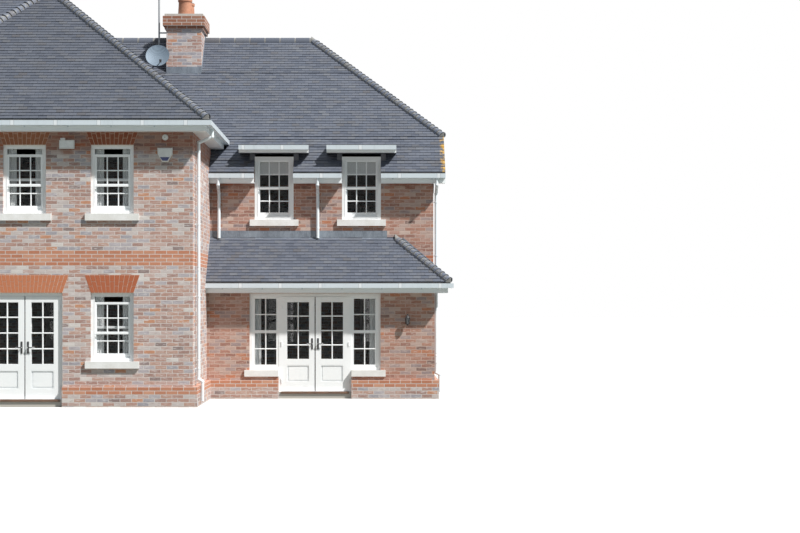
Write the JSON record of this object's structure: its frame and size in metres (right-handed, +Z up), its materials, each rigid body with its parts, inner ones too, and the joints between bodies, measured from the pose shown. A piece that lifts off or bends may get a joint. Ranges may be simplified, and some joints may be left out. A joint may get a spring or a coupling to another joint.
{
  "type": "detached house",
  "caption": "Brick house with hipped tiled roofs, a projecting wing, a lower side range with eaves dormers, and a lean-to with glazed double doors that open.",
  "frame": {"origin": "centre of the plan box at ground level", "axes": "+Z up, +X to the right seen from the garden, +Y from the garden front into the house"},
  "size_m": [18.21, 14.98, 10.1454],
  "materials": {
    "brick": "wire-cut facing brick, mixed pink, buff and blue-grey, flush pale mortar",
    "concrete": "floated concrete",
    "timber_floor": "boarded",
    "roof_tile": "weathered plain clay tile, blue-grey",
    "lead": "weathered sheet lead",
    "terracotta": "fired clay",
    "white_plastic": "white rainwater goods",
    "white_paint": "white gloss paint on joinery",
    "glass": "clear float glass",
    "cast_stone": "pale cast stone",
    "gauged_brick": "rubbed orange-red brick, fine joints",
    "grey_metal": "galvanised and powder-coated grey",
    "fitting_plastic": "moulded plastic and painted metal"
  },
  "bodies": {
    "house": {"ground_floor": "concrete", "ground_floor_side": "concrete", "upper_floor": "timber_floor", "upper_floor_side": "timber_floor", "wing_front_wall_left": "brick", "wing_front_wall_right": "brick", "wing_front_wall_over_door": "brick", "wing_left_wall": "brick", "wing_right_wall": "brick", "main_front_wall": "brick", "main_left_wall": "brick", "main_rear_wall": "brick", "main_right_wall": "brick", "side_front_wall": "brick", "side_right_wall": "brick", "side_rear_wall": "brick", "leanto_wall_left": "brick", "leanto_wall_right": "brick", "leanto_lintel": "brick", "plinth": "brick", "wing_roof_front": "roof_tile", "wing_roof_left": "roof_tile", "wing_roof_right": "roof_tile", "main_roof_front": "roof_tile", "main_roof_left": "roof_tile", "main_roof_rear": "roof_tile", "main_roof_right": "roof_tile", "side_roof_front": "roof_tile", "side_roof_rear": "roof_tile", "side_roof_half_hip": "roof_tile", "leanto_roof_front": "roof_tile", "leanto_roof_hip": "roof_tile", "ridge_tiles": "roof_tile", "hip_tiles": "roof_tile", "lead_flashings": "lead", "dormers": "lead", "chimney_stack": "brick", "chimney_pots": "terracotta", "chimney_cowls": "grey_metal", "eaves_boards": "white_paint", "gutters": "white_plastic", "downpipes": "white_plastic", "window_frames": "white_paint", "window_glass": "glass", "window_sills": "cast_stone", "flat_arches": "gauged_brick", "wing_door_frame": "white_paint", "garden_door_frame": "white_paint", "aerial_and_dish": "grey_metal", "wall_fittings": "fitting_plastic"},
    "wing_leaf_left": {"wing_leaf_left": "white_paint", "wing_leaf_left_glass": "glass"},
    "wing_leaf_right": {"wing_leaf_right": "white_paint", "wing_leaf_right_glass": "glass"},
    "garden_leaf_left": {"garden_leaf_left": "white_paint", "garden_leaf_left_glass": "glass"},
    "garden_leaf_right": {"garden_leaf_right": "white_paint", "garden_leaf_right_glass": "glass"}
  },
  "joints": [
    {"name": "wing_leaf_left_hinge", "type": "hinge", "parent": "house", "child": "wing_leaf_left", "pos_m": [-0.091, -7.049, 1.15], "axis": [0, 0, -1], "range_deg": [0, 90]},
    {"name": "wing_leaf_right_hinge", "type": "hinge", "parent": "house", "child": "wing_leaf_right", "pos_m": [1.281, -7.049, 1.15], "axis": [0, 0, 1], "range_deg": [0, 90]},
    {"name": "garden_leaf_left_hinge", "type": "hinge", "parent": "house", "child": "garden_leaf_left", "pos_m": [5.466, -3.679, 1.15], "axis": [0, 0, -1], "range_deg": [0, 90]},
    {"name": "garden_leaf_right_hinge", "type": "hinge", "parent": "house", "child": "garden_leaf_right", "pos_m": [6.893, -3.679, 1.15], "axis": [0, 0, 1], "range_deg": [0, 90]}
  ]
}
